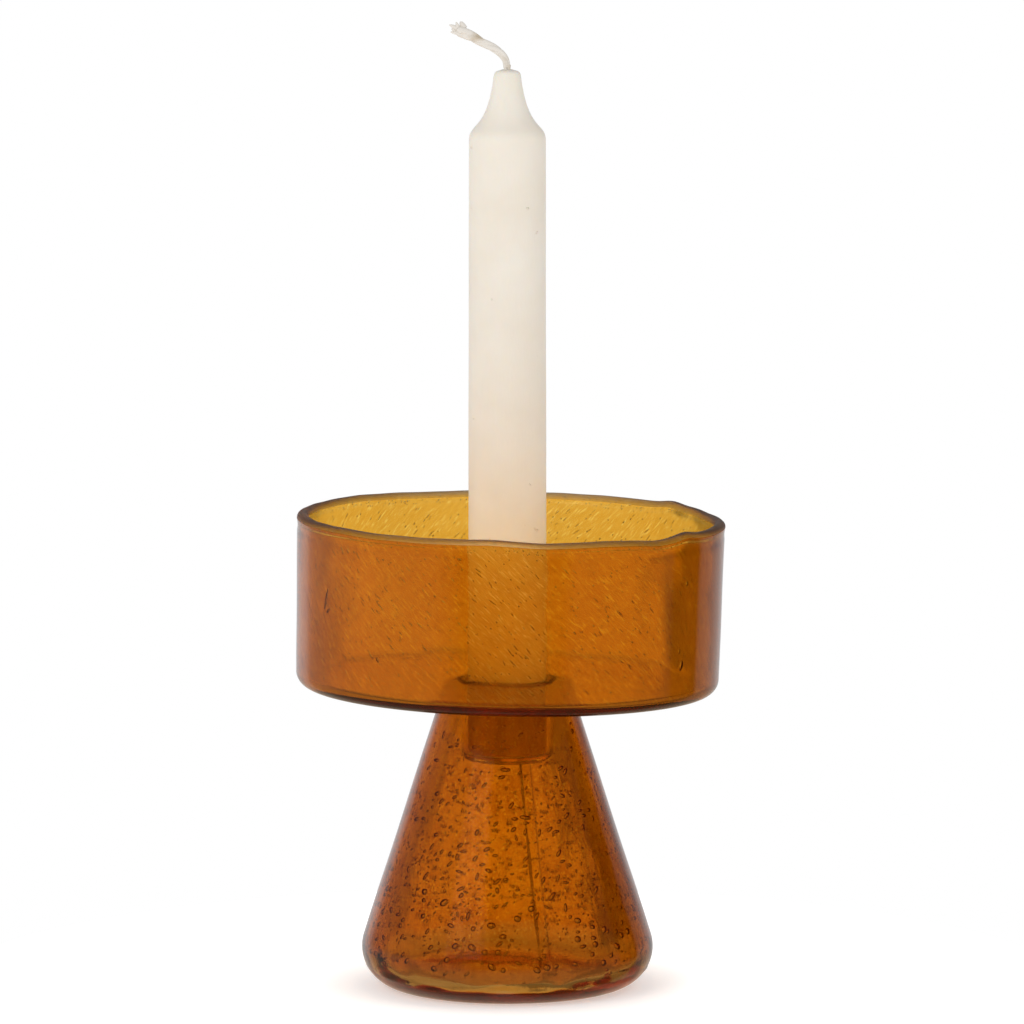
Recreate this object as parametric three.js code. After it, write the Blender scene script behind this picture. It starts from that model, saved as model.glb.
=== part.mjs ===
// A candle holder of amber bubble glass, with a dinner candle standing in it.
//
// A shallow round dish is carried on a hollow cone. The dish's floor has a hole in the middle, and a glass
// socket closed at its foot hangs through it into the cone. The socket holds a dinner candle; with the candle
// lifted out, a tealight stands on the dish's floor over the socket's mouth. The candle is a tapered wax stick
// with a shoulder and a narrow nose, bored right through for a wick laid up from three cotton yarns, which
// bends over above the wax.
//
// Millimetres, +Z up. The origin is at the centre of the foot, on the surface that the holder stands on.

import * as THREE from "three";

// Gap between glass pieces that are fused together, and round the candle where it stands in its socket.
const GAP = 0.3;

// Holder
const HOLDER_HEIGHT = 133;

// Dish
const RIM_RADIUS = 60; // outside, at the lip
const DISH_FOOT_RADIUS = 59.3; // outside, at the bottom of the wall
const DISH_BOTTOM = 84.4;
const DISH_WALL = 3.1;
const DISH_FLOOR = 2.6;
const DISH_CORNER = 4; // outside corner between wall and floor
const DISH_FILLET = 1.6; // inside corner between wall and floor
const DISH_SEGMENTS = 72;

// Socket for the candle
const SOCKET_BORE = 11.3;
const SOCKET_WALL = 1.6;
const SOCKET_BOTTOM = 64;
const SOCKET_FLOOR = 2;
const SOCKET_CORNER = 1.8;
const SOCKET_LIP = 0.5;
const SOCKET_SEGMENTS = 40;

// Cone
const BASE_RADIUS = 41; // at the widest
const BASE_CORNER = 11.1; // outside corner between wall and foot
const BASE_FILLET = 6.5; // inside corner between wall and floor
const CONE_ANGLE = THREE.MathUtils.degToRad(17.8); // between the wall and the upright
const BASE_WALL = 3.1;
const BASE_FLOOR = 5;
const PUNT_RADIUS = 24; // hollow under the foot, which leaves a ring to stand on
const PUNT_DEPTH = 1.4;
const PUNT_STEPS = 5;
const BASE_SEGMENTS = 64;

// Candle
const CANDLE_FOOT = SOCKET_BOTTOM + SOCKET_FLOOR + GAP;
const CANDLE_TOP = 258;
const CANDLE_FOOT_RADIUS = 11;
const SHOULDER_RADIUS = 10.7;
const SHOULDER_DROP = 19.7; // from the top of the wax down to the full width
const SHOULDER_PULL = 5.1; // how far up the shoulder stays full
const NOSE_RADIUS = 3.75;
const NOSE_FLARE = 1.85; // how far the nose opens out towards the shoulder
const NOSE_PULL = 15.9; // how far down the nose stays narrow
const NOSE_EDGE = 1.4; // rounding round the top of the nose
const CANDLE_CHAMFER = 0.6;
const CANDLE_SEGMENTS = 40;

// Wick: three yarns laid round one another along a common line
const YARNS = 3;
const YARN_RADIUS = 0.42;
const LAY_RADIUS = 0.67; // from the wick's line to a yarn's line
const LAY_LENGTH = 17; // along the wick for one turn
const YARN_SIDES = 6;
const YARN_STEPS = 104;
const WICK_BORE = LAY_RADIUS + YARN_RADIUS + GAP;
const STRAIGHT_STEPS = 12; // points on the wick's line inside the wax
// The wick's line above the wax: how far it leans to -X, and its height over the top of the wax.
const WICK_BEND = [
  [0.1, 0.8],
  [0.5, 2.5],
  [1.4, 4.1],
  [2.8, 5.4],
  [5.6, 6.9],
  [8.4, 8.4],
  [11.4, 10],
  [14, 11.3],
];

const GLASS = { color: 0xb8660a, roughness: 0.08, metalness: 0, transparent: true, opacity: 0.6 };
const WAX = { color: 0xf0e6d8, roughness: 0.45, metalness: 0 };
const COTTON = { color: 0xeee6da, roughness: 0.9, metalness: 0 };

const point = (radius, height) => new THREE.Vector2(radius, height);

// Points on an arc of a profile, from one angle to another in degrees, both ends included.
function arc(radius, height, size, from, to, steps) {
  const points = [];
  for (let i = 0; i <= steps; i++) {
    const angle = THREE.MathUtils.degToRad(from + ((to - from) * i) / steps);
    points.push(point(radius + size * Math.cos(angle), height + size * Math.sin(angle)));
  }
  return points;
}

// A profile in (radius, height), turned round the vertical axis.
function turned(profile, segments) {
  return new THREE.LatheGeometry(profile, segments).rotateX(Math.PI / 2);
}

function piece(name, geometry, look) {
  const mesh = new THREE.Mesh(geometry, new THREE.MeshStandardMaterial(look));
  mesh.name = name;
  return mesh;
}

function dish() {
  const lip = DISH_WALL / 2;
  const floor = DISH_BOTTOM + DISH_FLOOR;
  const hole = SOCKET_BORE + SOCKET_WALL + GAP;
  const innerFoot = DISH_FOOT_RADIUS - DISH_WALL;
  const profile = [
    point(hole, DISH_BOTTOM),
    ...arc(DISH_FOOT_RADIUS - DISH_CORNER, DISH_BOTTOM + DISH_CORNER, DISH_CORNER, -90, 0, 6),
    ...arc(RIM_RADIUS - lip, HOLDER_HEIGHT - lip, lip, 0, 180, 8),
    ...arc(innerFoot - DISH_FILLET, floor + DISH_FILLET, DISH_FILLET, 0, -90, 5),
    point(hole, floor),
    point(hole, DISH_BOTTOM),
  ];
  return piece("dish", turned(profile, DISH_SEGMENTS), GLASS);
}

function candleSocket() {
  const outside = SOCKET_BORE + SOCKET_WALL;
  const top = DISH_BOTTOM + DISH_FLOOR;
  const profile = [
    point(0, SOCKET_BOTTOM),
    ...arc(outside - SOCKET_CORNER, SOCKET_BOTTOM + SOCKET_CORNER, SOCKET_CORNER, -90, 0, 4),
    point(outside, top - SOCKET_LIP),
    point(outside - SOCKET_LIP, top),
    point(SOCKET_BORE + SOCKET_LIP, top),
    point(SOCKET_BORE, top - SOCKET_LIP),
    point(SOCKET_BORE, SOCKET_BOTTOM + SOCKET_FLOOR),
    point(0, SOCKET_BOTTOM + SOCKET_FLOOR),
  ];
  return piece("candle_socket", turned(profile, SOCKET_SEGMENTS), GLASS);
}

// The shallow hollow under the foot, from the axis out to the ring that it stands on.
function punt() {
  const points = [];
  for (let i = 0; i <= PUNT_STEPS; i++) {
    const share = i / PUNT_STEPS;
    points.push(point(PUNT_RADIUS * share, PUNT_DEPTH * (1 - share * share)));
  }
  return points;
}

function base() {
  const lean = THREE.MathUtils.radToDeg(CONE_ANGLE);
  const neckTop = DISH_BOTTOM - GAP;
  const cornerX = BASE_RADIUS - BASE_CORNER;
  // The wall's outside is the line that touches the outside corner's circle, and its inside is one wall in.
  const wallAt = (height, inset) =>
    cornerX + (BASE_CORNER - inset) / Math.cos(CONE_ANGLE) - (height - BASE_CORNER) * Math.tan(CONE_ANGLE);
  const filletHeight = BASE_FLOOR + BASE_FILLET;
  const filletX = wallAt(filletHeight, BASE_WALL) - BASE_FILLET / Math.cos(CONE_ANGLE);
  const profile = [
    ...punt(),
    ...arc(cornerX, BASE_CORNER, BASE_CORNER, -90, lean, 10),
    point(wallAt(neckTop, 0), neckTop),
    point(wallAt(neckTop, BASE_WALL), neckTop),
    ...arc(filletX, filletHeight, BASE_FILLET, lean, -90, 6),
    point(0, BASE_FLOOR),
  ];
  return piece("base", turned(profile, BASE_SEGMENTS), GLASS);
}

function candleWax() {
  const shoulder = CANDLE_TOP - SHOULDER_DROP;
  const noseTop = CANDLE_TOP - NOSE_EDGE;
  const flare = new THREE.CubicBezierCurve(
    point(SHOULDER_RADIUS, shoulder),
    point(SHOULDER_RADIUS, shoulder + SHOULDER_PULL),
    point(NOSE_RADIUS + NOSE_FLARE, noseTop - NOSE_PULL),
    point(NOSE_RADIUS, noseTop),
  );
  const bore = WICK_BORE / Math.cos(Math.PI / CANDLE_SEGMENTS);
  const profile = [
    point(bore, CANDLE_FOOT),
    point(CANDLE_FOOT_RADIUS - CANDLE_CHAMFER, CANDLE_FOOT),
    point(CANDLE_FOOT_RADIUS, CANDLE_FOOT + CANDLE_CHAMFER),
    ...flare.getPoints(12),
    ...arc(NOSE_RADIUS - NOSE_EDGE, noseTop, NOSE_EDGE, 0, 90, 3).slice(1),
    point(bore, CANDLE_TOP),
    point(bore, CANDLE_FOOT),
  ];
  return piece("candle_wax", turned(profile, CANDLE_SEGMENTS), WAX);
}

// The wick's own line, from the foot of the candle to its free end.
function wickLine() {
  const points = [];
  for (let i = 0; i <= STRAIGHT_STEPS; i++) {
    points.push(new THREE.Vector3(0, 0, THREE.MathUtils.lerp(CANDLE_FOOT, CANDLE_TOP, i / STRAIGHT_STEPS)));
  }
  for (const [lean, rise] of WICK_BEND) points.push(new THREE.Vector3(-lean, 0, CANDLE_TOP + rise));
  return new THREE.CatmullRomCurve3(points, false, "centripetal");
}

// One yarn winds round the wick's line. The bend lies in the XZ plane, so +Y is square to it all along.
function yarn(number) {
  const line = wickLine();
  const length = line.getLength();
  const start = (number * 2 * Math.PI) / YARNS;
  const side = new THREE.Vector3(0, 1, 0);
  const points = [];
  for (let i = 0; i <= YARN_STEPS * 2; i++) {
    const share = i / (YARN_STEPS * 2);
    const across = new THREE.Vector3().crossVectors(line.getTangentAt(share), side).normalize();
    const turn = start + (share * length * 2 * Math.PI) / LAY_LENGTH;
    points.push(
      line
        .getPointAt(share)
        .addScaledVector(across, LAY_RADIUS * Math.cos(turn))
        .addScaledVector(side, LAY_RADIUS * Math.sin(turn)),
    );
  }
  const section = new THREE.Shape();
  for (let i = 0; i < YARN_SIDES; i++) {
    const angle = (i * 2 * Math.PI) / YARN_SIDES;
    const corner = [YARN_RADIUS * Math.cos(angle), YARN_RADIUS * Math.sin(angle)];
    if (i === 0) section.moveTo(...corner);
    else section.lineTo(...corner);
  }
  const geometry = new THREE.ExtrudeGeometry(section, {
    steps: YARN_STEPS,
    extrudePath: new THREE.CatmullRomCurve3(points),
    bevelEnabled: false,
  });
  return piece(`wick_yarn_${number + 1}`, geometry, COTTON);
}

function holder() {
  return new THREE.Group().add(dish(), candleSocket(), base());
}

function candle() {
  const group = new THREE.Group().add(candleWax());
  for (let i = 0; i < YARNS; i++) group.add(yarn(i));
  return group;
}

export default new THREE.Group().add(holder(), candle());
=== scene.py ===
# The looks of the amber bubble glass candle holder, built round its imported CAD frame.
# The frame is in metres. Pieces are shaped in millimetres here, and Solid.piece turns them into metres.

import math
import random
from itertools import product

import bpy
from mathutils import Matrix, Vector, noise

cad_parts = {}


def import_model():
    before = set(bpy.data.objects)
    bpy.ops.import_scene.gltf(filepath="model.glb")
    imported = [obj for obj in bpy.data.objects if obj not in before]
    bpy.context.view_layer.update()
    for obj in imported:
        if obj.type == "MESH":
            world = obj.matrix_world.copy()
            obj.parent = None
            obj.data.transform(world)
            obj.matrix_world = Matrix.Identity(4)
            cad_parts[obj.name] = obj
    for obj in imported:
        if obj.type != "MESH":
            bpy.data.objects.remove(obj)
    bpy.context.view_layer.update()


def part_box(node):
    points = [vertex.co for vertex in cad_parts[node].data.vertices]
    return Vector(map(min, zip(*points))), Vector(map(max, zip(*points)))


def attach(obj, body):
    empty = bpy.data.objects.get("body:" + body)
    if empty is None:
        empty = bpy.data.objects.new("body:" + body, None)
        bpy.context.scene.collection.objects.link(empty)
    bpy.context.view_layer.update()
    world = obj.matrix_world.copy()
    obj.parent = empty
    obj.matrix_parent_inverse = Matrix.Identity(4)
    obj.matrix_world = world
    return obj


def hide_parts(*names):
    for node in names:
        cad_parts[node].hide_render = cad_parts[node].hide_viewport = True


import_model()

MM = 0.001
TURN = 2 * math.pi

dish_low, dish_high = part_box("dish")
socket_low, socket_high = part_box("candle_socket")
_, base_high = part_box("base")
wax_low, wax_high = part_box("candle_wax")

# Glass, in millimetres
WALL = 3.1
SKIN = 0.35  # the least glass left over a bubble
SEAM = 0.06  # between fused pieces

DISH_BOTTOM = dish_low.z / MM
DISH_TOP = dish_high.z / MM
DISH_FLOOR = DISH_BOTTOM + 2.6  # top of the floor
RIM_RADIUS = dish_high.x / MM
DISH_FOOT_RADIUS = RIM_RADIUS - 0.7
DISH_CORNER = 4.0
DISH_FILLET = 1.6
LIP_RADIUS = WALL / 2 + 0.1
# The wall is a little thinner under the lip: how far down from the top, and how far the surface is drawn in.
OUTER_GROOVE = ((5.2, 0.15), (3.4, 0.28), (2.4, 0.12))
INNER_GROOVE = ((2.6, 0.1), (3.6, 0.22), (5.4, 0.05))
LIP_CLEAR = 0.8  # how far the lip is free of the glass's tint
LIP_CLEAR_DROP = 1.5  # how far down from the top that goes
LIP_MATT = 0.4  # how much rougher the lip is
LIP_MATT_DROP = 1.7  # and how far down that goes
HOLE_CHAMFER = 0.8
DISH_SEGMENTS = 240

SOCKET_RADIUS = socket_high.x / MM
SOCKET_BOTTOM = socket_low.z / MM
SOCKET_TOP = socket_high.z / MM
SOCKET_WALL = 1.6
SOCKET_FLOOR = 2.0
SOCKET_CORNER = 2.4
SOCKET_FILLET = 0.8
SOCKET_LIP = 0.4  # how far its mouth stands over the dish's floor
SOCKET_EDGES = (0.6, 0.5)  # rounding round its mouth, outside and inside
SOCKET_SEGMENTS = 128

BASE_NECK = DISH_BOTTOM - SEAM
BASE_FLOOR = 5.0
BASE_CORNER = 11.1  # radius of the outside corner at the foot
BASE_CORNER_X = base_high.x / MM - BASE_CORNER  # where that corner's middle is
BASE_FILLET = 6.5
CONE_ANGLE = math.radians(17.8)
PUNT_RADIUS = 24.0
PUNT_DEPTH = 1.4
PUNT_STEPS = 12
BASE_SEGMENTS = 216

# Candle, in millimetres
WAX_BOTTOM = wax_low.z / MM
WAX_TOP = wax_high.z / MM
WAX_RADIUS = wax_high.x / MM
SHOULDER_RADIUS = 10.7
SHOULDER_DROP = 19.7  # from the top of the wax down to the full width
SHOULDER_PULL = 5.1
NOSE_RADIUS = 3.75
NOSE_FLARE = 1.85
NOSE_PULL = 15.9
NOSE_EDGE = 1.4
WAX_CHAMFER = 0.6
WICK_BORE = 1.15
CANDLE_SEGMENTS = 160


# ---------------------------------------------------------------- meshes


def arc(radius, height, size, start, end, steps):
    """Points (radius, height) on an arc of a profile, with the angles in degrees."""
    points = []
    for i in range(steps + 1):
        angle = math.radians(start + (end - start) * i / steps)
        points.append((radius + size * math.cos(angle), height + size * math.sin(angle)))
    return points


def refine(profile, longest, closed):
    """The profile with its long edges cut, so that no edge is longer than longest."""
    points = []
    ends = profile[1:] + (profile[:1] if closed else [])
    for (r0, z0), (r1, z1) in zip(profile, ends):
        cuts = max(1, math.ceil(math.hypot(r1 - r0, z1 - z0) / longest))
        for i in range(cuts):
            points.append((r0 + (r1 - r0) * i / cuts, z0 + (z1 - z0) * i / cuts))
    if not closed:
        points.append(profile[-1])
    return points


def around(segments):
    """Evenly spaced angles round a full turn."""
    return [TURN * i / segments for i in range(segments)]


class Solid:
    """Vertices (in millimetres) and faces of one piece, gathered before its mesh is made."""

    def __init__(self):
        self.verts = []
        self.faces = []
        self.clear = {}  # face index: how far its surface is free of the glass's tint, from 0 to 1
        self.matt = {}  # face index: how much rougher than the rest it is

    def lathe(self, profile, angles):
        """Turns a profile round +Z. It closes on itself, unless its ends are on the axis."""
        closed = profile[0][0] > 0
        segments = len(angles)
        rings = []
        for radius, height in profile:
            start = len(self.verts)
            if radius == 0:
                self.verts.append(Vector((0, 0, height)))
                rings.append([start] * segments)
                continue
            for angle in angles:
                self.verts.append(Vector((radius * math.cos(angle), radius * math.sin(angle), height)))
            rings.append(list(range(start, start + segments)))
        for low, high in zip(rings, rings[1:] + (rings[:1] if closed else [])):
            for i in range(segments):
                j = (i + 1) % segments
                face = [low[i], low[j], high[j], high[i]]
                face = [v for k, v in enumerate(face) if v != face[k - 1]]
                if len(face) > 2:
                    self.faces.append(face)

    def bubble(self, centre, axes, sides, rows):
        """A void with the given half axes (three vectors). Its faces look inwards, at the air in it."""
        start = len(self.verts)
        along, across, deep = axes
        self.verts.append(centre + along)
        for row in range(1, rows):
            polar = math.pi * row / rows
            for angle in around(sides):
                ring = across * math.cos(angle) + deep * math.sin(angle)
                self.verts.append(centre + along * math.cos(polar) + ring * math.sin(polar))
        self.verts.append(centre - along)
        last = len(self.verts) - 1
        new = []
        for i in range(sides):
            j = (i + 1) % sides
            new.append([start, start + 1 + i, start + 1 + j])
            for row in range(rows - 2):
                ring = start + 1 + row * sides
                new.append([ring + i, ring + sides + i, ring + sides + j, ring + j])
            ring = start + 1 + (rows - 2) * sides
            new.append([ring + i, last, ring + j])
        inward = along.cross(across).dot(deep) > 0
        self.clear.update((len(self.faces) + i, 1.0) for i in range(len(new)))
        self.faces += [face[::-1] for face in new] if inward else new

    def tint(self, share):
        """Sets how far each face is free of tint, from share(radius, height) at its corners."""
        for i, face in enumerate(self.faces):
            corners = (self.verts[k] for k in face)
            self.clear[i] = min(share(math.hypot(v.x, v.y), v.z) for v in corners)

    def warp(self, move):
        """Moves each vertex to where move(vertex) says."""
        self.verts = [move(v) for v in self.verts]

    def piece(self, name, material, body, *nodes):
        """Makes the object, which rides on a body in place of its CAD nodes."""
        mesh = bpy.data.meshes.new(name)
        mesh.from_pydata([v * MM for v in self.verts], [], self.faces)
        mesh.validate()
        mesh.polygons.foreach_set("use_smooth", [True] * len(mesh.polygons))
        mesh.materials.append(material)
        for title, shares in (("clear", self.clear), ("matt", self.matt)):
            values = mesh.attributes.new(title, "FLOAT", "FACE").data
            values.foreach_set("value", [shares.get(i, 0.0) for i in range(len(mesh.polygons))])
        piece = bpy.data.objects.new(name, mesh)
        bpy.context.scene.collection.objects.link(piece)
        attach(piece, body)
        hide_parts(*nodes)
        return piece


# ---------------------------------------------------------------- materials


class Nodes:
    """Short calls for building a node tree."""

    def __init__(self, tree):
        self.tree = tree

    def add(self, kind, **settings):
        node = self.tree.nodes.new(kind)
        for key, value in settings.items():
            setattr(node, key, value)
        return node

    def join(self, source, target):
        """Links two sockets, or sets the second to a number or a colour."""
        if isinstance(source, (int, float)):
            target.default_value = source
        elif isinstance(source, tuple):
            target.default_value = (*source, 1)
        else:
            self.tree.links.new(source, target)

    def maths(self, operation, first, second):
        node = self.add("ShaderNodeMath", operation=operation)
        self.join(first, node.inputs[0])
        self.join(second, node.inputs[1])
        return node.outputs[0]

    def mix(self, factor, first, second):
        """The first colour where the factor is 0, and the second where it is 1."""
        node = self.add("ShaderNodeMix", data_type="RGBA")
        for source, number in ((factor, 0), (first, 6), (second, 7)):
            self.join(source, node.inputs[number])
        return node.outputs[2]

    def ramp(self, factor, *stops):
        """A colour for each value from 0 to 1. A stop is (value, colour), or (value, grey level)."""
        node = self.add("ShaderNodeValToRGB")
        elements = node.color_ramp.elements
        while len(elements) < len(stops):
            elements.new(0.5)
        for element, (position, colour) in zip(elements, stops):
            element.position = position
            element.color = (*colour, 1) if isinstance(colour, tuple) else (colour, colour, colour, 1)
        self.join(factor, node.inputs["Fac"])
        return node.outputs["Color"]


class Look(Nodes):
    """A material, with its Principled shader and the object's own coordinates."""

    def __init__(self, name):
        self.material = bpy.data.materials.new(name)
        self.material.use_nodes = True
        super().__init__(self.material.node_tree)
        self.inputs = self.tree.nodes["Principled BSDF"].inputs
        self.output = self.tree.nodes["Material Output"]
        self.place = self.add("ShaderNodeTexCoord").outputs["Object"]

    def stretched(self, vector, scale):
        node = self.add("ShaderNodeVectorMath", operation="MULTIPLY")
        self.join(vector, node.inputs[0])
        node.inputs[1].default_value = scale
        return node.outputs[0]

    def noise(self, vector, scale, detail=3.0, roughness=0.5, distortion=0.0):
        node = self.add("ShaderNodeTexNoise")
        node.inputs["Scale"].default_value = scale
        node.inputs["Detail"].default_value = detail
        node.inputs["Roughness"].default_value = roughness
        node.inputs["Distortion"].default_value = distortion
        self.join(vector, node.inputs["Vector"])
        return node.outputs["Fac"]

    def blend(self, first, share, second):
        """The two values added up, with the given share of the first."""
        rest = self.maths("MULTIPLY", second, 1 - share)
        return self.maths("ADD", self.maths("MULTIPLY", first, share), rest)

    def between(self, factor, low, high):
        """Maps a 0 to 1 value on to a range."""
        node = self.add("ShaderNodeMapRange")
        node.inputs["To Min"].default_value = low
        node.inputs["To Max"].default_value = high
        self.join(factor, node.inputs["Value"])
        return node.outputs["Result"]

    def bump(self, height, distance, normal=None):
        """A surface raised by up to a distance in metres, on top of another bump."""
        node = self.add("ShaderNodeBump")
        node.inputs["Distance"].default_value = distance
        node.inputs["Strength"].default_value = 1.0
        self.join(height, node.inputs["Height"])
        if normal is not None:
            self.join(normal, node.inputs["Normal"])
        return node.outputs["Normal"]

    def of_face(self, title):
        """The value that Solid.piece gives each face under a title."""
        return self.add("ShaderNodeAttribute", attribute_name=title).outputs["Fac"]

    def twisted(self, turn_per_metre):
        """The place turned round the vertical axis in step with its height, so that patterns spiral."""
        parts = self.add("ShaderNodeSeparateXYZ")
        self.join(self.place, parts.inputs[0])
        node = self.add("ShaderNodeVectorRotate", rotation_type="Z_AXIS")
        self.join(self.place, node.inputs["Vector"])
        self.join(self.maths("MULTIPLY", parts.outputs["Z"], turn_per_metre), node.inputs["Angle"])
        return node.outputs[0]


def amber_glass(name, *, twist, streak, size, glint_stretch, glint_colour, pale, deep, density, roughness, relief):
    """
    Clear amber glass: its colour is partly in the outer skin and partly in its depth.

    twist is how far its streaks spiral, in radians to the metre of height. size is their noise's scale
    across, and streak times that is the scale along the height. glint_stretch draws out the painted glints in
    the same way. These are sparse short strokes in the lighter glint_colour, painted in for light glinting
    off the bubbles. The skin's tint lies between pale and deep, and density is that of the depth. roughness
    is a range. relief is the height of the waves and of the streaks, in metres.
    """
    look = Look(name)
    spiral = look.twisted(twist)
    drawn = look.stretched(spiral, (1, 1, streak))
    streaks = look.noise(drawn, size, 4, 0.6, 0.4)
    waves = look.noise(drawn, size / 5, 2)
    clouds = look.noise(look.place, 45, 2)
    # Painted glints: sparse short lighter strokes in the skin, standing in for light glinting off the
    # bubbles.
    painted_glints = look.noise(look.stretched(spiral, (1, 1, glint_stretch)), 1500, 2, 0.5)
    tint = look.ramp(look.blend(streaks, 0.6, clouds), (0.36, deep), (0.62, pale))
    skin = look.mix(look.ramp(painted_glints, (0.57, 0), (0.71, 1)), tint, glint_colour)
    inside = look.ramp(look.noise(look.place, 900, 2), (0.3, (1.0, 0.97, 0.9)), (0.7, 1))
    look.join(look.mix(look.of_face("clear"), skin, inside), look.inputs["Base Color"])
    rough = look.maths("ADD", look.between(streaks, *roughness), look.of_face("matt"))
    look.join(rough, look.inputs["Roughness"])
    wave_relief, streak_relief = relief
    look.join(look.bump(streaks, streak_relief, look.bump(waves, wave_relief)), look.inputs["Normal"])
    look.inputs["Transmission Weight"].default_value = 1.0
    look.inputs["IOR"].default_value = 1.48
    depth = look.add("ShaderNodeVolumeAbsorption")
    depth.inputs["Color"].default_value = (0.935, 0.745, 0.015, 1)
    depth.inputs["Density"].default_value = density
    look.join(depth.outputs[0], look.output.inputs["Volume"])
    return look.material


def dish_glass():
    return amber_glass(
        "amber_glass_dish",
        twist=17.0,
        streak=0.3,
        size=1300,
        glint_stretch=0.3,
        # the colour of the painted glints
        glint_colour=(0.8, 0.40, 0.03),
        pale=(0.63, 0.222, 0.007),
        deep=(0.50, 0.142, 0.002),
        density=190,
        roughness=(0.04, 0.1),
        relief=(0.00002, 0.000004),
    )


def socket_glass():
    return amber_glass(
        "amber_glass_socket",
        twist=6.0,
        streak=0.2,
        size=500,
        glint_stretch=0.6,
        # the colour of the painted glints
        glint_colour=(0.95, 0.85, 0.5),
        pale=(0.99, 0.93, 0.66),
        deep=(0.96, 0.87, 0.52),
        density=45,
        roughness=(0.03, 0.08),
        relief=(0.0001, 0.00002),
    )


def cone_glass():
    return amber_glass(
        "amber_glass_cone",
        twist=3.0,
        streak=0.08,
        size=260,
        glint_stretch=0.8,
        # the colour of the painted glints
        glint_colour=(0.75, 0.34, 0.02),
        pale=(0.62, 0.19, 0.006),
        deep=(0.38, 0.085, 0.001),
        density=200,
        roughness=(0.03, 0.08),
        relief=(0.0002, 0.00006),
    )


def wax():
    """Ivory wax, faintly cloudy, with a few small pits."""
    look = Look("ivory_wax")
    clouds = look.noise(look.place, 60, 3)
    colour = look.ramp(clouds, (0.3, (0.868, 0.797, 0.69)), (0.7, (0.91, 0.853, 0.763)))
    look.join(colour, look.inputs["Base Color"])
    look.join(look.between(look.noise(look.place, 220, 3), 0.38, 0.55), look.inputs["Roughness"])
    fine = look.noise(look.stretched(look.place, (1, 1, 0.25)), 700, 3)
    pits = look.ramp(look.noise(look.place, 480, 1), (0.20, 0), (0.25, 1))
    soft = look.bump(pits, 0.0003, look.bump(clouds, 0.0004))
    look.join(look.bump(fine, 0.00006, soft), look.inputs["Normal"])
    look.inputs["Subsurface Weight"].default_value = 0.35
    look.inputs["Subsurface Radius"].default_value = (1.0, 0.75, 0.5)
    look.inputs["Subsurface Scale"].default_value = 0.004
    return look.material


def cotton():
    """Cotton yarn soaked in wax: nearly smooth, and browner in patches."""
    look = Look("waxed_cotton")
    along = look.noise(look.stretched(look.place, (0.4, 1, 0.8)), 1000, 1, 0.4)
    patches = look.noise(look.place, 190, 1)
    mixed = look.blend(along, 0.25, patches)
    colour = look.ramp(mixed, (0.36, (0.62, 0.52, 0.39)), (0.52, (0.82, 0.77, 0.70)))
    look.join(colour, look.inputs["Base Color"])
    look.join(look.between(along, 0.4, 0.6), look.inputs["Roughness"])
    look.join(look.bump(along, 0.00002), look.inputs["Normal"])
    return look.material


# ---------------------------------------------------------------- bubbles in the glass


class Bubbles:
    """Voids scattered in the walls of one solid, none touching another."""

    CUBE = 3.0  # the voids are sorted into cubes of space with this side
    APART = 0.12  # the least glass between two of them

    def __init__(self, solid, rng):
        self.solid = solid
        self.rng = rng
        self.cubes = {}

    def scatter(self, count, place, sizes, shape, sides, rows):
        """Adds up to count voids, leaving out any that would touch one that is there already."""
        for _ in range(count):
            centre, across, up, out, room = place(self.rng)
            size = self.rng.uniform(*sizes)
            wide, tall, deep, tilt = shape(self.rng)
            height = size * tall
            cos, sin = math.cos(tilt), math.sin(tilt)
            along = (across * cos + up * sin) * (size * wide)
            side = (up * cos - across * sin) * height
            if self.find_room(centre, along, height):
                self.solid.bubble(centre, (along, side, out * min(size * deep, room)), sides, rows)

    def find_room(self, centre, along, reach):
        """Keeps a place for a void along that line, as balls strung along it, if it is free."""
        beads = max(1, math.ceil(along.length / max(reach, 0.2)))
        spots = [centre + along * (i / beads) for i in range(-beads + 1, beads)]
        if any(self.is_taken(spot, reach) for spot in spots):
            return False
        for spot in spots:
            self.cubes.setdefault(self.cube_of(spot), []).append((spot, reach))
        return True

    def is_taken(self, spot, reach):
        home = self.cube_of(spot)
        for step in product((-1, 0, 1), repeat=3):
            cube = tuple(here + away for here, away in zip(home, step))
            for other, width in self.cubes.get(cube, ()):
                if (spot - other).length < reach + width + self.APART:
                    return True
        return False

    def cube_of(self, spot):
        return tuple(int(round(c / self.CUBE)) for c in spot)


# Shapes for Bubbles.scatter: the half width, half height and half depth over the void's size, and its tilt.


def needle(rng):
    return rng.uniform(4, 9), 1.0, 1.0, math.radians(rng.gauss(-46, 8))


def seed(rng):
    return rng.uniform(1, 1.8), 1.0, 1.0, math.radians(-50)


def blob(rng):
    return rng.uniform(1.0, 1.5), 1.0, 0.6, math.radians(rng.gauss(0, 25))


def lentil(rng):
    return rng.uniform(1.1, 2.4), rng.uniform(0.8, 1.0), 0.75, math.radians(rng.gauss(35, 35))


def speck(rng):
    return rng.uniform(1.0, 1.6), 1.0, 1.0, 0.0


# Places for Bubbles.scatter: the middle, the ways across, up and out there, and the greatest half depth.


def upright_wall(low, high):
    """Places in the dish's upright wall, between two heights."""
    inner, outer = RIM_RADIUS - WALL, DISH_FOOT_RADIUS

    def place(rng):
        angle = rng.uniform(0, TURN)
        out = Vector((math.cos(angle), math.sin(angle), 0))
        across = Vector((-out.y, out.x, 0))
        radius = (inner + outer) / 2 + rng.uniform(-0.25, 0.25) * (outer - inner)
        room = min(outer - radius, radius - inner) - SKIN
        return out * radius + Vector((0, 0, rng.uniform(low, high))), across, Vector((0, 0, 1)), out, room

    return place


def slant_radius(height):
    """Outside radius of the cone's slanting wall."""
    widest = BASE_CORNER_X + BASE_CORNER / math.cos(CONE_ANGLE)
    return widest - (height - BASE_CORNER) * math.tan(CONE_ANGLE)


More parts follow.
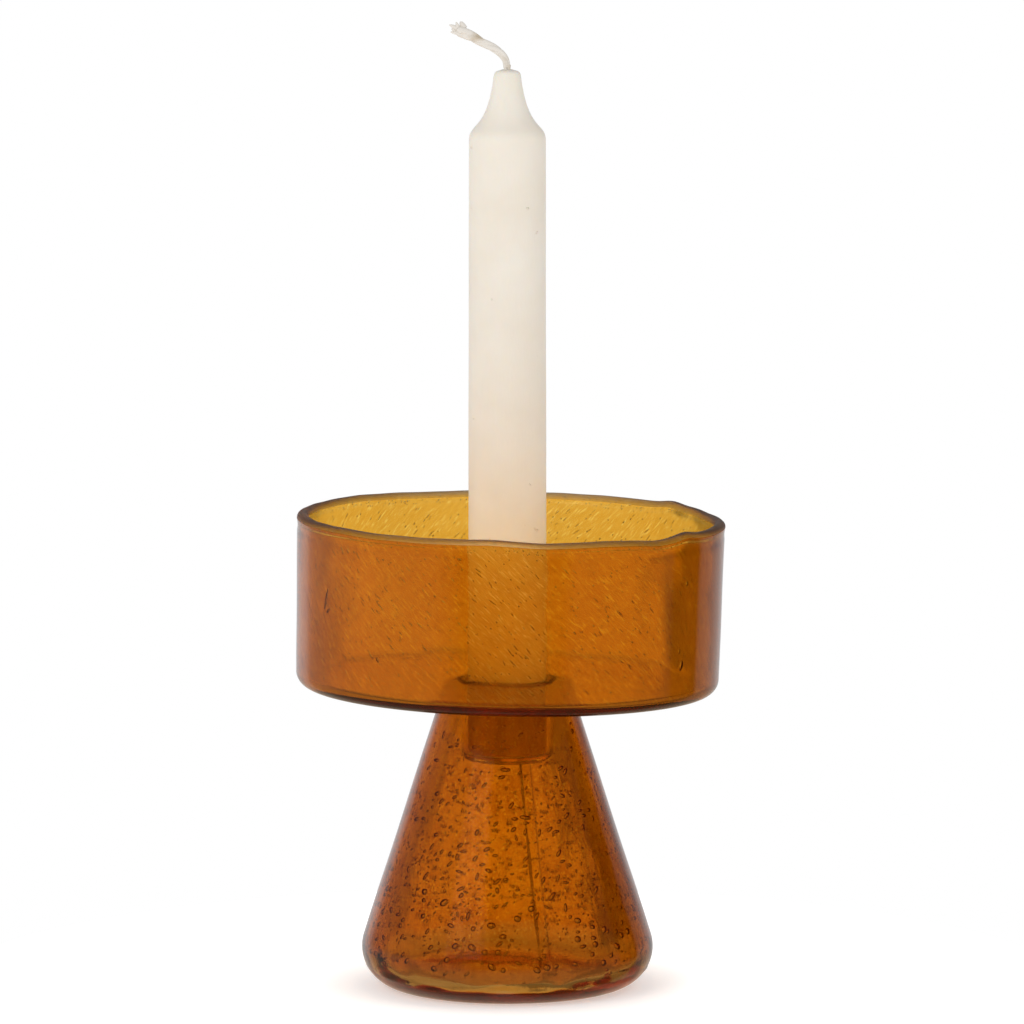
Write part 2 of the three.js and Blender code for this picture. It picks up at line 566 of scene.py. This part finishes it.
def cone_wall(low, high, mode):
    """Places in the cone's slanting wall and its rounded foot, most of them near the height mode."""
    turn = BASE_CORNER * (1 + math.sin(CONE_ANGLE))

    def place(rng):
        height = rng.triangular(low, high, mode)
        angle = rng.uniform(0, TURN)
        flat = Vector((math.cos(angle), math.sin(angle), 0))
        if height > turn:
            tilt = CONE_ANGLE
            radius = slant_radius(height)
        else:
            tilt = math.asin(height / BASE_CORNER - 1)
            radius = BASE_CORNER_X + BASE_CORNER * math.cos(tilt)
        up = Vector((0, 0, 1)) * math.cos(tilt) - flat * math.sin(tilt)
        out = flat * math.cos(tilt) + Vector((0, 0, 1)) * math.sin(tilt)
        depth = rng.uniform(0.3, 0.65) * WALL
        room = min(depth, WALL - depth) - SKIN
        centre = flat * radius + Vector((0, 0, height)) - out * depth
        return centre, Vector((-flat.y, flat.x, 0)), up, out, room

    return place


# ---------------------------------------------------------------- glass pieces


def wobble(x, y, z, size, layer):
    """A smooth random value from -1 to 1 at a place, with bumps of about a size. Layers differ."""
    return noise.noise(Vector((x / size, y / size, z / size + layer * 17.3)))


# Rises and dips of the fire-polished lip: the bearing in degrees, the height, and the width in degrees.
LIP_DENTS = ((-35, 0.55, 4), (-46, -0.6, 7), (38, 0.9, 5), (-96, 0.3, 5), (-80, -0.35, 8))


def lip_height(angle):
    """How far the lip rises or dips, in millimetres, round the dish."""
    x, y = math.cos(angle), math.sin(angle)
    height = 0.3 * wobble(x, y, 0, 0.42, 3) + 0.22 * wobble(x, y, 0, 0.16, 5)
    for bearing, rise, width in LIP_DENTS:
        gap = (math.degrees(angle) - bearing + 180) % 360 - 180
        height += rise * math.exp(-((gap / width) ** 2))
    return height


DISH_LEAN = math.radians(1.25)  # the dish was set on its cone a little askew
TRUE_RADIUS = 24  # the middle of the dish's floor stays true, so that the socket fits in it
FADE = 30  # the distance over which the unevenness comes in outside that


def dish_shape(v):
    """Hand-made unevenness: a wavy lip, a slightly uneven wall, and a small lean to +X."""
    radius = math.hypot(v.x, v.y)
    angle = math.atan2(v.y, v.x)
    up = max(0.0, (v.z - DISH_BOTTOM) / (DISH_TOP - DISH_BOTTOM))
    out = min(1.0, max(0.0, (radius - TRUE_RADIUS) / FADE))
    z = v.z + lip_height(angle) * up**3 * out
    swell = 1 + out * 0.004 * wobble(math.cos(angle), math.sin(angle), z / 30, 0.9, 1)
    x, y = v.x * swell, v.y * swell
    if radius < RIM_RADIUS - WALL + 0.6 and v.z > DISH_FLOOR + 2:
        thin = 1 + 0.1 / radius * wobble(x, y, z, 9, 8)
        x, y = x * thin, y * thin
    lean = DISH_LEAN * out
    return Vector((x + (z - DISH_BOTTOM) * lean, y, z - x * lean))


# Large flaws in the dish's wall: bearing and height of the middle, half length, half width, and tilt.
DISH_FLAWS = (
    (-149.3, 112.5, 3.4, 0.5, 74),
    (-148.2, 109.4, 1.2, 0.4, 40),
    (-35.5, 96.5, 1.5, 0.8, 70),
    (-36.5, 100.5, 0.6, 0.45, 80),
    (-33.8, 119, 0.7, 0.45, 60),
    (-128, 98, 0.8, 0.4, 120),
)


def dish_flaw(bearing, height, length, width, tilt):
    """The place, size and shape of one flaw, as Bubbles.scatter takes them."""
    angle = math.radians(bearing)
    out = Vector((math.cos(angle), math.sin(angle), 0))
    centre = out * (DISH_FOOT_RADIUS - WALL / 2) + Vector((0, 0, height))

    def place(rng):
        return centre, Vector((-out.y, out.x, 0)), Vector((0, 0, 1)), out, 1.0

    def shape(rng):
        return length, width, width * 0.8, math.radians(tilt)

    return place, (1, 1), shape


def dish_clearness(radius, height):
    """The tint is in the outer skin. The inside is clear."""
    if height > DISH_TOP - LIP_CLEAR_DROP:
        return LIP_CLEAR
    return float(radius < RIM_RADIUS - WALL / 2 and height > DISH_FLOOR - 0.5)


def dish(glass):
    hole = SOCKET_RADIUS + SEAM
    inner = RIM_RADIUS - 2 * LIP_RADIUS
    inner_foot = DISH_FOOT_RADIUS - WALL - DISH_FILLET
    profile = [(hole, DISH_BOTTOM)]
    profile += arc(DISH_FOOT_RADIUS - DISH_CORNER, DISH_BOTTOM + DISH_CORNER, DISH_CORNER, -90, 0, 14)
    profile += [(RIM_RADIUS - inset, DISH_TOP - drop) for drop, inset in OUTER_GROOVE]
    profile += arc(RIM_RADIUS - LIP_RADIUS, DISH_TOP - LIP_RADIUS, LIP_RADIUS, 0, 180, 20)
    profile += [(inner + inset, DISH_TOP - drop) for drop, inset in INNER_GROOVE]
    profile += arc(inner_foot, DISH_FLOOR + DISH_FILLET, DISH_FILLET, 0, -90, 14)
    profile += [(hole + HOLE_CHAMFER, DISH_FLOOR), (hole, DISH_FLOOR - HOLE_CHAMFER)]
    solid = Solid()
    solid.lathe(refine(profile, 2.0, True), around(DISH_SEGMENTS))
    solid.tint(dish_clearness)
    for i, face in enumerate(solid.faces):
        if min(solid.verts[k].z for k in face) > DISH_TOP - LIP_MATT_DROP:
            solid.matt[i] = LIP_MATT
    wall = upright_wall(DISH_FLOOR + 3, DISH_TOP - 4.5)
    under_lip = upright_wall(DISH_TOP - 3.5, DISH_TOP - 0.9)
    bubbles = Bubbles(solid, random.Random(11))
    for flaw in DISH_FLAWS:
        bubbles.scatter(1, *dish_flaw(*flaw), 16, 12)
    bubbles.scatter(700, wall, (0.08, 0.16), needle, 5, 5)
    bubbles.scatter(900, wall, (0.1, 0.24), seed, 5, 4)
    bubbles.scatter(700, under_lip, (0.08, 0.2), seed, 5, 3)
    solid.warp(dish_shape)
    return solid.piece("glass_dish", glass, "holder", "dish")


def socket(glass):
    bore = SOCKET_RADIUS - SOCKET_WALL
    floor = SOCKET_BOTTOM + SOCKET_FLOOR
    mouth = SOCKET_TOP + SOCKET_LIP
    outer_edge, inner_edge = SOCKET_EDGES
    profile = [(0, SOCKET_BOTTOM)]
    profile += arc(SOCKET_RADIUS - SOCKET_CORNER, SOCKET_BOTTOM + SOCKET_CORNER, SOCKET_CORNER, -90, 0, 8)
    profile += arc(SOCKET_RADIUS - outer_edge, mouth - outer_edge, outer_edge, 0, 90, 4)
    profile += arc(bore + inner_edge, mouth - inner_edge, inner_edge, 90, 180, 4)
    profile += arc(bore - SOCKET_FILLET, floor + SOCKET_FILLET, SOCKET_FILLET, 0, -90, 4)
    profile += [(0, floor)]
    solid = Solid()
    solid.lathe(refine(profile, 1.5, False), around(SOCKET_SEGMENTS))
    return solid.piece("glass_socket", glass, "holder", "candle_socket")


# The fold down the cone's front: its bearing at the foot, how that changes with each millimetre of height,
# its height, half its width, and how far its left and right edges take to rise.
CREASE_FOOT = math.radians(-74.3)
CREASE_LEAN = math.radians(-0.055)
CREASE_HEIGHT = 0.22
CREASE_HALF = 1.4
CREASE_EDGES = (0.5, 0.25)


def crease_angles():
    """Angles round the cone, with finer steps across the crease."""
    fine = [CREASE_FOOT + math.radians(0.3 * i - 9) for i in range(48)]
    coarse = []
    for angle in around(BASE_SEGMENTS):
        if not fine[0] < (angle + math.pi) % TURN - math.pi < fine[-1]:
            coarse.append(angle)
    return sorted(angle % TURN for angle in fine + coarse)


def base_shape(v):
    """Slight unevenness of a blown cone, with a crease down its front and waves inside its foot."""
    angle = math.atan2(v.y, v.x)
    radius = math.hypot(v.x, v.y)
    swell = 1 + 0.006 * wobble(math.cos(angle), math.sin(angle), v.z / 34, 0.8, 2)
    if radius > slant_radius(v.z) - 0.4:
        gap = (angle - CREASE_FOOT - CREASE_LEAN * v.z) * radius
        left, right = CREASE_EDGES
        fold = math.tanh((gap + CREASE_HALF) / left) - math.tanh((gap - CREASE_HALF) / right)
        swell += CREASE_HEIGHT / 2 * fold / radius
    elif radius < slant_radius(v.z) - WALL and v.z > BASE_FLOOR + 0.1:
        waves = 0.15 + 0.5 * min(1.0, max(0.0, (17 - v.z) / 7))
        swell += waves / max(radius, 1) * wobble(v.x, v.y, v.z, 9, 4)
    return Vector((v.x * swell, v.y * swell, v.z))


def base_clearness(radius, height):
    """The tint is in the outer skin, and fades at its foot. Inside, only the foot has some."""
    depth = slant_radius(height) - radius
    if height < BASE_CORNER and radius > BASE_CORNER_X:
        depth = BASE_CORNER - math.hypot(radius - BASE_CORNER_X, height - BASE_CORNER)
    if depth < WALL / 2 or height < BASE_FLOOR - 0.1:
        return 0.45 * min(1.0, max(0.0, (12 - height) / 8))
    return 0.35 + 0.65 * min(1.0, (height - BASE_FLOOR) / (2 * BASE_FILLET))


def base(glass):
    lean = math.degrees(CONE_ANGLE)
    thick = WALL / math.cos(CONE_ANGLE)
    fillet_z = BASE_FLOOR + BASE_FILLET
    fillet_x = slant_radius(fillet_z) - thick - BASE_FILLET / math.cos(CONE_ANGLE)
    shares = [i / PUNT_STEPS for i in range(PUNT_STEPS + 1)]
    profile = [(PUNT_RADIUS * share, PUNT_DEPTH * (1 - share**2)) for share in shares]
    profile += arc(BASE_CORNER_X, BASE_CORNER, BASE_CORNER, -90, lean, 26)
    profile += [(slant_radius(BASE_NECK), BASE_NECK), (slant_radius(BASE_NECK) - thick, BASE_NECK)]
    profile += arc(fillet_x, fillet_z, BASE_FILLET, lean, -90, 18)
    profile += [(0, BASE_FLOOR)]
    solid = Solid()
    solid.lathe(refine(profile, 2.8, False), crease_angles())
    solid.tint(base_clearness)
    wall = cone_wall(5, BASE_NECK - 2, 20)
    low_wall = cone_wall(8, 34, 14)
    bubbles = Bubbles(solid, random.Random(23))
    bubbles.scatter(110, low_wall, (0.6, 1.0), blob, 12, 6)
    bubbles.scatter(560, wall, (0.42, 0.68), lentil, 9, 5)
    bubbles.scatter(1300, wall, (0.18, 0.42), lentil, 6, 4)
    bubbles.scatter(2400, wall, (0.09, 0.2), speck, 5, 3)
    solid.warp(base_shape)
    return solid.piece("glass_cone", glass, "holder", "base")


# ---------------------------------------------------------------- candle


def candle_shape(v):
    """Soft unevenness of poured wax."""
    angle = math.atan2(v.y, v.x)
    swell = 1 + 0.006 * wobble(math.cos(angle), math.sin(angle), v.z / 40, 0.9, 7)
    return Vector((v.x * swell, v.y * swell, v.z))


def bezier(p0, p1, p2, p3, steps):
    """Points (radius, height) on a cubic curve."""
    points = []
    for i in range(steps + 1):
        t = i / steps
        a, b, c, d = (1 - t) ** 3, 3 * (1 - t) ** 2 * t, 3 * (1 - t) * t * t, t**3
        points.append(tuple(a * p0[k] + b * p1[k] + c * p2[k] + d * p3[k] for k in (0, 1)))
    return points


def candle(material):
    shoulder = WAX_TOP - SHOULDER_DROP
    neck = WAX_TOP - NOSE_EDGE
    profile = [(WICK_BORE, WAX_BOTTOM)]
    for inset, rise in ((WAX_CHAMFER, 0), (WAX_CHAMFER / 4, WAX_CHAMFER / 4), (0, WAX_CHAMFER)):
        profile.append((WAX_RADIUS - inset, WAX_BOTTOM + rise))
    profile += bezier(
        (SHOULDER_RADIUS, shoulder),
        (SHOULDER_RADIUS, shoulder + SHOULDER_PULL),
        (NOSE_RADIUS + NOSE_FLARE, neck - NOSE_PULL),
        (NOSE_RADIUS, neck),
        40,
    )
    profile += arc(NOSE_RADIUS - NOSE_EDGE, neck - 0.3, NOSE_EDGE, 20, 80, 8)
    profile += [(WICK_BORE + 0.3, WAX_TOP + 0.05), (WICK_BORE, WAX_TOP - 0.4)]
    solid = Solid()
    solid.lathe(refine(profile, 1.5, True), around(CANDLE_SEGMENTS))
    solid.warp(candle_shape)
    return solid.piece("ivory_candle", material, "candle", "candle_wax")


# How far the wick leans to -X, and its height over the top of the wax.
WICK_BEND = ((0.1, 0.8), (0.5, 2.5), (1.4, 4.1), (2.8, 5.4), (5.6, 6.9), (8.4, 8.4), (11.4, 10), (14, 11.3))
WICK_SIDE = Vector((0, 1, 0))  # square to the wick's line all along
STRAIGHT_STEPS = 12  # points on the wick's line inside the wax
YARNS = 3
YARN_RADIUS = 0.6
LAY_RADIUS = 0.36  # from the wick's line to a yarn's line
LAY_LENGTH = 17.0  # along the wick for one turn

# The tufts at the wick's free end: where each starts, from the last point of the wick's line, the way that it
# points, its length and its half thickness.
TUFTS = (
    ((2.1, 0.3, 0.1), (-0.5, 0.1, 0.87), 2.4, 0.85),
    ((0.4, -0.2, 0.3), (-0.33, 0.0, 0.94), 1.9, 0.5),
    ((0.6, 0.0, 0.0), (-0.86, 0.0, 0.4), 3.0, 0.6),
    ((3.0, -0.5, -1.7), (-0.93, 0.0, 0.2), 4.9, 0.65),
    ((1.0, 0.4, -0.4), (-0.95, 0.1, 0.15), 2.6, 0.8),
)
TUFT_STEPS = 10
TUFT_DROOP = Vector((0, 0, -0.12))


def catmull(points, steps):
    """A smooth line through the points."""
    line = []
    ends = [points[0] * 2 - points[1]] + list(points) + [points[-1] * 2 - points[-2]]
    for a, b, c, d in zip(ends, ends[1:], ends[2:], ends[3:]):
        for i in range(steps):
            t = i / steps
            square = (2 * a - 5 * b + 4 * c - d) * t * t
            line.append(0.5 * (2 * b + (c - a) * t + square + (3 * b - 3 * c + d - a) * t**3))
    line.append(points[-1].copy())
    return line


def way_along(line, i):
    """The direction of a line at one of its points."""
    return (line[min(i + 1, len(line) - 1)] - line[max(i - 1, 0)]).normalized()


def strand(solid, line, radii, sides):
    """A closed tube along a line, with a radius for each of its points."""
    rings = []
    for i, point in enumerate(line):
        ahead = way_along(line, i)
        across = ahead.cross(WICK_SIDE).normalized()
        over = across.cross(ahead)
        rings.append(len(solid.verts))
        for angle in around(sides):
            solid.verts.append(point + (across * math.cos(angle) + over * math.sin(angle)) * radii[i])
    for low, high in zip(rings, rings[1:]):
        for k in range(sides):
            m = (k + 1) % sides
            solid.faces.append([low + k, high + k, high + m, low + m])
    solid.faces.append([rings[0] + k for k in range(sides)])
    solid.faces.append([rings[-1] + k for k in reversed(range(sides))])


def wick(material):
    """Three waxed yarns laid round one another. The cord swells towards its free end, which is frayed."""
    foot = WAX_BOTTOM + 0.3
    rise = (WAX_TOP - foot) / STRAIGHT_STEPS
    straight = [Vector((0, 0, foot + rise * i)) for i in range(STRAIGHT_STEPS + 1)]
    bend = [Vector((-lean, 0, WAX_TOP + up)) for lean, up in WICK_BEND]
    line = catmull(straight + bend, 24)
    lengths = [0.0]
    for a, b in zip(line, line[1:]):
        lengths.append(lengths[-1] + (b - a).length)
    inside = WAX_TOP - foot
    free = lengths[-1] - inside

    def swell(travelled):
        """How much thicker the cord is than inside the wax, at a distance along it."""
        share = max(0.0, (travelled - inside) / free)
        return 1 + 0.3 * min(1, share * 2.2) + 0.6 * max(0.0, share - 0.6) / 0.4

    def taper(travelled):
        """Rounds off a yarn's free end."""
        return math.sqrt(min(1.0, 0.1 + (lengths[-1] - travelled) / 1.2))

    solid = Solid()
    radii = [YARN_RADIUS * swell(travelled) * taper(travelled) for travelled in lengths]
    for number in range(YARNS):
        path = []
        for i, point in enumerate(line):
            across = way_along(line, i).cross(WICK_SIDE).normalized()
            angle = TURN * (lengths[i] / LAY_LENGTH + number / YARNS)
            out = across * math.cos(angle) + WICK_SIDE * math.sin(angle)
            path.append(point + out * LAY_RADIUS * swell(lengths[i]))
        strand(solid, path, radii, 12)
    fray(solid, line[-1])
    return solid.piece("cotton_wick", material, "candle", "wick_yarn_1", "wick_yarn_2", "wick_yarn_3")


def fray(solid, tip):
    """Adds the tufts at the wick's tip. Each droops a little and ends in a rounded point."""
    shares = [i / TUFT_STEPS for i in range(TUFT_STEPS + 1)]
    for start, way, length, thick in TUFTS:
        begin = tip + Vector(start)
        way = Vector(way).normalized()
        path = [begin + way * (length * share) + TUFT_DROOP * share**2 for share in shares]
        radii = [thick * math.sqrt(max(0.02, 1 - share**2.2)) for share in shares]
        strand(solid, path, radii, 10)


# ---------------------------------------------------------------- studio

TABLE_RADIUS = 0.16  # in metres, as are the next two
LAMPS_AIM = (0, 0, 0.15)
CAMERA_PLACE = (0.0013, -2.252, 0.4106)
CAMERA_DIP = math.radians(7.0)  # how far it looks down

# Brightness of the studio's walls by direction, as seen in a reflection: (degrees clockwise from behind the
# object, seen from above; brightness).
REFLECTED = (
    (-180, 0.01),
    (-155, 0.02),
    (-137, 0.2),
    (-47, 0.38),
    (-43, 0.45),
    (-36, 0.8),
    (20, 0.65),
    (42, 0.38),
    (54, 0.3),
    (57, 0.0),
    (79, 0.0),
    (83, 0.10),
    (144, 0.10),
    (151, 0.02),
    (180, 0.02),
)
# What that is multiplied by at each height, from straight down at 0 to straight up at 1.
REFLECTED_BY_HEIGHT = (
    (0, 0.4),
    (0.3, 0.4),
    (0.45, 1),
    (0.49, 1),
    (0.54, 0.6),
    (0.64, 0.4),
    (0.78, 0.4),
    (0.86, 1),
    (1, 1),
)
# What shines up from below in a reflection, by height.
FROM_BELOW = ((0, (0.34, 0.19, 0.06)), (0.33, (0.34, 0.19, 0.06)), (0.43, 0.0))
# What shows through the glass repeats every quarter turn: four white panels with dimmer walls between them,
# (degrees clockwise from the middle of a panel; brightness).
PANELS = (
    (-45, 0.8),
    (-14, 0.8),
    (-9, 0.55),
    (-5, 1),
    (3.5, 1),
    (5.5, 0.4),
    (28, 0.4),
    (40, 0.75),
    (45, 0.75),
)
# What that is multiplied by at each height, and by as a whole.
SHOWN_BY_HEIGHT = ((0, 0.4), (0.3, 0.4), (0.42, 0.6), (0.62, 0.6), (0.8, 0.33), (1, 0.33))
SHOWN_BRIGHTEST = 1.667
# What lights the wax and the table: a plain level, its share at each height, and the level for light that
# has come through the glass.
PLAIN = 0.95
PLAIN_BY_HEIGHT = ((0, 1), (0.62, 1), (0.85, 0.5), (1, 0.5))
PLAIN_THROUGH = (1.65, 1.68, 1.58)


def table():
    """A small round pale table, lit and glowing so that it fades into the white round it. It glows less near
    its middle, a painted contact shadow under the holder. The glass doesn't show it.
    """
    mesh = bpy.data.meshes.new("studio_table")
    rim = [(TABLE_RADIUS * math.cos(angle), TABLE_RADIUS * math.sin(angle), 0) for angle in around(96)]
    mesh.from_pydata(rim, [], [range(len(rim))])
    look = Look("pale_table")
    look.inputs["Base Color"].default_value = (0.85, 0.85, 0.85, 1)
    look.inputs["Roughness"].default_value = 0.9
    look.inputs["Specular IOR Level"].default_value = 0.0
    look.inputs["Emission Color"].default_value = (1, 1, 1, 1)
    reach = look.add("ShaderNodeVectorMath", operation="LENGTH")
    look.join(look.place, reach.inputs[0])
    # It glows less within 60 mm of the middle, and least inside 40 mm: a painted contact shadow under the
    # holder.
    tenths = look.maths("DIVIDE", reach.outputs["Value"], 0.1)
    look.join(look.ramp(tenths, (0.4, 0.4), (0.6, 0.7)), look.inputs["Emission Strength"])
    mesh.materials.append(look.material)
    ground = bpy.data.objects.new("studio_table", mesh)
    bpy.context.scene.collection.objects.link(ground)
    ground.visible_glossy = False
    ground.visible_transmission = False


def softbox(name, place, width, power):
    """A large square lamp that faces the candle. The glass doesn't reflect it."""
    lamp = bpy.data.lights.new(name, "AREA")
    lamp.shape = "SQUARE"
    lamp.size = width
    lamp.energy = power
    light = bpy.data.objects.new(name, lamp)
    light.location = place
    light.rotation_euler = (Vector(LAMPS_AIM) - Vector(place)).to_track_quat("-Z", "Y").to_euler()
    light.visible_glossy = False
    bpy.context.scene.collection.objects.link(light)


def world():
    """White to look at, with studio walls for what the glass reflects and for what shows through it."""
    studio = bpy.data.worlds.new("studio")
    studio.use_nodes = True
    studio.cycles.sampling_method = "NONE"
    bpy.context.scene.world = studio
    sky = Nodes(studio.node_tree)
    way = sky.add("ShaderNodeSeparateXYZ")
    sky.join(sky.add("ShaderNodeTexCoord").outputs["Generated"], way.inputs[0])
    bearing = sky.maths("ARCTAN2", way.outputs["X"], way.outputs["Y"])
    # These go from 0 to 1 over a full turn, over each quarter turn, and from straight down to straight up.
    turned = sky.maths("ADD", sky.maths("DIVIDE", bearing, TURN), 0.5)
    quarter = sky.maths("FRACT", sky.maths("ADD", sky.maths("DIVIDE", bearing, TURN / 4), 2.5), 0)
    rise = sky.maths("ADD", sky.maths("MULTIPLY", way.outputs["Z"], 0.5), 0.5)

    walls = sky.ramp(turned, *[((degrees + 180) / 360, level) for degrees, level in REFLECTED])
    reflected = sky.add("ShaderNodeVectorMath", operation="ADD")
    sky.join(sky.maths("MULTIPLY", walls, sky.ramp(rise, *REFLECTED_BY_HEIGHT)), reflected.inputs[0])
    sky.join(sky.ramp(rise, *FROM_BELOW), reflected.inputs[1])

    panels = sky.ramp(quarter, *[(degrees / 90 + 0.5, level) for degrees, level in PANELS])
    shown = sky.maths("MULTIPLY", sky.ramp(rise, *SHOWN_BY_HEIGHT), SHOWN_BRIGHTEST)
    through = sky.maths("MULTIPLY", panels, shown)

    path = sky.add("ShaderNodeLightPath").outputs
    plain = sky.maths("MULTIPLY", sky.ramp(rise, *PLAIN_BY_HEIGHT), PLAIN)
    seen = sky.mix(path["Is Glossy Ray"], plain, reflected.outputs[0])
    through = sky.mix(path["Diffuse Depth"], through, PLAIN_THROUGH)
    seen = sky.mix(path["Is Transmission Ray"], seen, through)
    seen = sky.mix(path["Is Camera Ray"], seen, (1, 1, 1))
    sky.join(seen, studio.node_tree.nodes["Background"].inputs["Color"])


def camera():
    """A long lens in front of the holder, looking a little down on it."""
    lens = bpy.data.cameras.new("camera")
    lens.sensor_width = 36
    lens.lens = 285
    lens.clip_end = 100
    view = bpy.data.objects.new("camera", lens)
    view.location = CAMERA_PLACE
    view.rotation_euler = (TURN / 4 - CAMERA_DIP, 0, 0)
    bpy.context.scene.collection.objects.link(view)
    bpy.context.scene.camera = view


camera()
world()
table()
softbox("softbox_left", (-0.8, -1.1, 0.9), 0.8, 5)
softbox("softbox_right", (0.9, -0.5, 1.3), 0.6, 2)
for piece in (dish(dish_glass()), socket(socket_glass()), base(cone_glass())):
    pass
candle(wax())
wick(cotton())

# Light goes through many surfaces of glass before it reaches the camera.
scene = bpy.context.scene
scene.view_settings.view_transform = "Standard"
scene.cycles.max_bounces = 24
scene.cycles.transmission_bounces = 24
scene.cycles.glossy_bounces = 12
